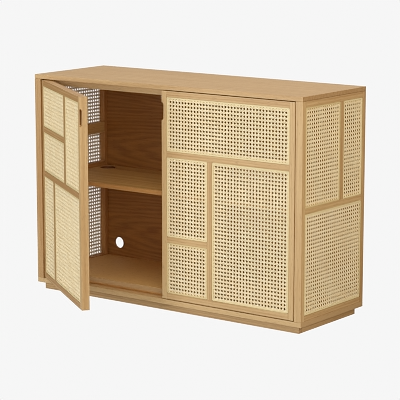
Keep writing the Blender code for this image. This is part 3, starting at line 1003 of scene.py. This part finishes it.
def makeScrew():
    # a countersunk head with a cross recess, facing -Y, its seat at the origin
    grid = fittings["screwGrid"]
    steps = 3
    arm = grid / steps / 2
    bpy.ops.object.select_all(action="DESELECT")
    bpy.ops.mesh.primitive_grid_add(x_subdivisions=steps, y_subdivisions=steps, size=grid)
    screw = nameNew("screwModel")
    editAll(screw)
    bpy.ops.mesh.region_to_loop()
    bpy.ops.mesh.extrude_edges_move()
    bpy.ops.transform.resize(value=(fittings["screwRim"], fittings["screwRim"], 1.0))
    bpy.ops.transform.tosphere(value=1.0)
    bpy.ops.mesh.extrude_edges_move(TRANSFORM_OT_translate={"value": (0, 0, -fittings["screwRise"])})

    def inCross(spot, normal):
        near, far = sorted((abs(spot.x), abs(spot.y)))
        return near < arm and far < grid / 2

    selectFaces(screw, inCross)
    bpy.ops.mesh.extrude_region_move(TRANSFORM_OT_translate={"value": (0, 0, -fittings["recessDepth"])})
    bpy.ops.mesh.select_all(action="SELECT")
    bpy.ops.mesh.normals_make_consistent(inside=False)
    leaveEdit()
    seat = Matrix.Translation((0, 0, fittings["screwRise"]))
    placeMesh(screw, Matrix.Rotation(math.radians(90), 4, "X") @ seat)
    return screw


def addScrew(name, place, node, model):
    # all screws are driven from behind
    screw = newPiece(name, model.data.copy())
    placeMesh(screw, Matrix.Translation(place) @ Matrix.Rotation(math.pi, 4, "Z"))
    setPiece(screw, node, zincSteel)


def makeStrikes(model):
    # a plate on the back of each door, opposite its magnet
    low, high = closedBox("magnet_catch")
    level = (low.z + high.z) / 2
    thick = fittings["strikeSize"][1]
    half = Vector(fittings["strikeSize"]) / 2
    for side, sign in (("left", -1), ("right", 1)):
        node = side + "_door_pull_stile"
        doorBack = closedBox(node)[1].y
        place = sign * fittings["windowMiddle"]
        middle = Vector((place, doorBack + half.y, level))
        plate = addBox(side + "_strike_plate", middle - half, middle + half)
        editAll(plate)
        selectEdges(plate, lambda first, second: abs((first - second).y) > half.y)
        bpy.ops.mesh.bevel(
            offset=fittings["strikeCorner"], segments=fittings["strikeCornerSteps"], affect="EDGES",
        )
        leaveEdit()
        easeEdges(plate, fittings["steelEasing"])
        setPiece(plate, node, zincSteel)
        addScrew(side + "_strike_screw", (place, doorBack + thick, level), node, model)


def evenSteps(start, end, count):
    return [start + (end - start) * step / (count - 1) for step in range(count)]


def makeBackScrews(model):
    # along the edges of the back and up its middle
    low, high = closedBox("back_panel")
    fromEdge = fittings["screwFromEdge"]
    left, right = low.x + fromEdge, high.x - fromEdge
    foot, head = low.z + fromEdge, high.z - fromEdge
    places = []
    for across in evenSteps(left, right, fittings["screwsAcross"]):
        places += [(across, foot), (across, head)]
    for level in evenSteps(foot, head, fittings["screwsUp"])[1:-1]:
        places += [(left, level), (right, level), (0.0, level)]
    for number, (across, level) in enumerate(places, 1):
        addScrew("back_screw_%02d" % number, (across, high.y, level), "back_panel", model)


screwModel = makeScrew()
makeCatch()
makeStrikes(screwModel)
makeBackScrews(screwModel)
bpy.data.objects.remove(screwModel)
for node in frame["nodes"]:
    if node.endswith("_pin"):
        frame["nodes"][node].data.materials.clear()
        frame["nodes"][node].data.materials.append(bronzedSteel)
print("fittings finished")


# Studio

studio = {
    "cameraPlace": (3.8332, -5.0869, 1.5258),
    "cameraTurn": (79.789, 0.0, 36.847),   # degrees
    "lens": 158.88,
    "farthest": 200.0,         # what the camera still sees
    "paper": "#f6f6f6",
    "floorSize": 90.0,
    "floorLight": 0.55,        # what the paper gives back to the cabinet in front
    "floorShade": "#6a6660",   # and its shade behind
    "shadeReach": (-0.60, 0.30),
    "skyLight": 0.64,
    "skyColour": "#ffffff",
    "darkSky": 0.25,           # its share from the left, which is darker
    "darkWay": (-0.90, -0.43, 0.0),
    "darkReach": (0.25, 0.85),
    "pixelFilter": 1.1,
    "sharpening": 0.10,        # the photo is crisp in light and dark, and softer in colour
    "gamma": 2.2,              # sharpened as the eye sees it
}
lamps = {
    "left": {
        "place": (-1.85, -4.7, 1.0), "aim": (0.0, -0.2, 0.45), "size": 1.8, "power": 107.0,
        "colour": "#eaf1ff",
    },
    "right": {
        "place": (2.6, -2.2, 1.1), "aim": (0.3, -0.2, 0.45), "size": 1.0, "power": 18.5,
        "colour": "#f4f8ff",
    },
    "side": {
        "place": (3.0, -0.3, 1.2), "aim": (0.6, 0.0, 0.4), "size": 1.5, "power": 13.6,
        "colour": "#ffdfb6",
    },
    "high": {
        "place": (0.0, -2.5, 3.0), "aim": (0.0, -0.2, 0.4), "size": 1.5, "power": 12.0,
        "colour": "#f5faff",
    },
    "steep": {
        "place": (0.8, -1.6, 3.0), "aim": (0.1, -0.2, 0.4), "size": 1.0, "power": 4.0,
        "colour": "#ffffff",
    },
    "overhead": {
        "place": (0.3, 0.2, 3.2), "aim": (0.0, 0.0, 0.8), "size": 2.2, "power": 22.5,
        "colour": "#ffffff",
    },
}


def layPaper():
    # plain paper to the camera, and a soft glow on the cabinet that fades behind it
    bpy.ops.object.select_all(action="DESELECT")
    bpy.ops.mesh.primitive_plane_add(size=studio["floorSize"])
    floor = nameNew("studio_floor")
    paper = bpy.data.materials.new("palePaper")
    paper.use_nodes = True
    tree = paper.node_tree
    tree.nodes.clear()
    sight = addNode(tree, "ShaderNodeLightPath")
    place = addNode(tree, "ShaderNodeTexCoord")
    spot = addNode(tree, "ShaderNodeSeparateXYZ", None, {"Vector": place.outputs["Object"]})
    front, behind = studio["shadeReach"]
    shade = addNode(
        tree, "ShaderNodeMapRange",
        {"interpolation_type": "SMOOTHSTEP", "From Min": front, "From Max": behind},
        {"Value": spot.outputs["Y"]},
    )
    tone = addNode(
        tree, "ShaderNodeMix",
        {"data_type": "RGBA", 6: linear(studio["paper"]), 7: linear(studio["floorShade"])},
        {0: shade.outputs[0]},
    )
    glow = addNode(
        tree, "ShaderNodeEmission", {"Strength": studio["floorLight"]}, {"Color": tone.outputs[2]},
    )
    plain = addNode(tree, "ShaderNodeEmission", {"Color": linear(studio["paper"]), "Strength": 1.0})
    surface = addNode(
        tree, "ShaderNodeMixShader", None,
        {0: sight.outputs["Is Camera Ray"], 1: glow.outputs[0], 2: plain.outputs[0]},
    )
    addNode(tree, "ShaderNodeOutputMaterial", None, {"Surface": surface.outputs[0]})
    floor.data.materials.append(paper)


def hangSky():
    # the paper's tone to the camera, and an even light on the cabinet that is weaker from the left
    world = bpy.data.worlds.new("studio")
    bpy.context.scene.world = world
    world.use_nodes = True
    tree = world.node_tree
    tree.nodes.clear()
    sight = addNode(tree, "ShaderNodeLightPath")
    way = addNode(tree, "ShaderNodeTexCoord")
    turn = addNode(
        tree, "ShaderNodeVectorMath", {"operation": "DOT_PRODUCT", 1: studio["darkWay"]},
        {0: way.outputs["Generated"]},
    )
    bright, dark = studio["darkReach"]
    strength = addNode(
        tree, "ShaderNodeMapRange",
        {"interpolation_type": "SMOOTHSTEP", "From Min": bright, "From Max": dark,
         "To Min": studio["skyLight"], "To Max": studio["darkSky"] * studio["skyLight"]},
        {"Value": turn.outputs["Value"]},
    )
    soft = addNode(
        tree, "ShaderNodeBackground", {"Color": linear(studio["skyColour"])},
        {"Strength": strength.outputs[0]},
    )
    plain = addNode(tree, "ShaderNodeBackground", {"Color": linear(studio["paper"])})
    surface = addNode(
        tree, "ShaderNodeMixShader", None,
        {0: sight.outputs["Is Camera Ray"], 1: soft.outputs[0], 2: plain.outputs[0]},
    )
    addNode(tree, "ShaderNodeOutputWorld", None, {"Surface": surface.outputs[0]})


def addLamp(name, lamp):
    light = newPiece(name, bpy.data.lights.new(name, "AREA"))
    light.data.shape = "SQUARE"
    light.data.size = lamp["size"]
    light.data.energy = lamp["power"]
    light.data.color = linear(lamp["colour"])[:3]
    light.location = lamp["place"]
    light.rotation_euler = (Vector(lamp["aim"]) - Vector(lamp["place"])).to_track_quat("-Z", "Y").to_euler()


def setCamera():
    scene = bpy.context.scene
    camera = newPiece("camera", bpy.data.cameras.new("camera"))
    camera.location = studio["cameraPlace"]
    camera.rotation_euler = [math.radians(angle) for angle in studio["cameraTurn"]]
    camera.data.lens = studio["lens"]
    camera.data.clip_end = studio["farthest"]
    scene.camera = camera
    scene.view_settings.view_transform = "Standard"
    scene.cycles.filter_width = studio["pixelFilter"]


def developPicture():
    # sharpens light and dark and softens colour
    bpy.context.scene.use_nodes = True
    darkroom = bpy.context.scene.node_tree
    darkroom.nodes.clear()
    gamma = studio["gamma"]
    taken = addNode(darkroom, "CompositorNodeRLayers")
    shown = addNode(darkroom, "CompositorNodeGamma", {"Gamma": 1 / gamma}, {"Image": taken.outputs["Image"]})
    channels = {}
    for filterType, share in (("SHARPEN_DIAMOND", studio["sharpening"]), ("SOFTEN", 1.0)):
        filtered = addNode(
            darkroom, "CompositorNodeFilter", {"filter_type": filterType, "Fac": share},
            {"Image": shown.outputs["Image"]},
        )
        channels[filterType] = addNode(
            darkroom, "CompositorNodeSeparateColor", {"mode": "YCC"}, {"Image": filtered.outputs["Image"]},
        ).outputs
    joined = addNode(
        darkroom, "CompositorNodeCombineColor", {"mode": "YCC"},
        {0: channels["SHARPEN_DIAMOND"][0], 1: channels["SOFTEN"][1], 2: channels["SOFTEN"][2]},
    )
    final = addNode(darkroom, "CompositorNodeGamma", {"Gamma": gamma}, {"Image": joined.outputs["Image"]})
    addNode(darkroom, "CompositorNodeComposite", None, {"Image": final.outputs["Image"]})


layPaper()
hangSky()
for lampName, lamp in lamps.items():
    addLamp(lampName, lamp)
setCamera()
developPicture()
print("studio ready")
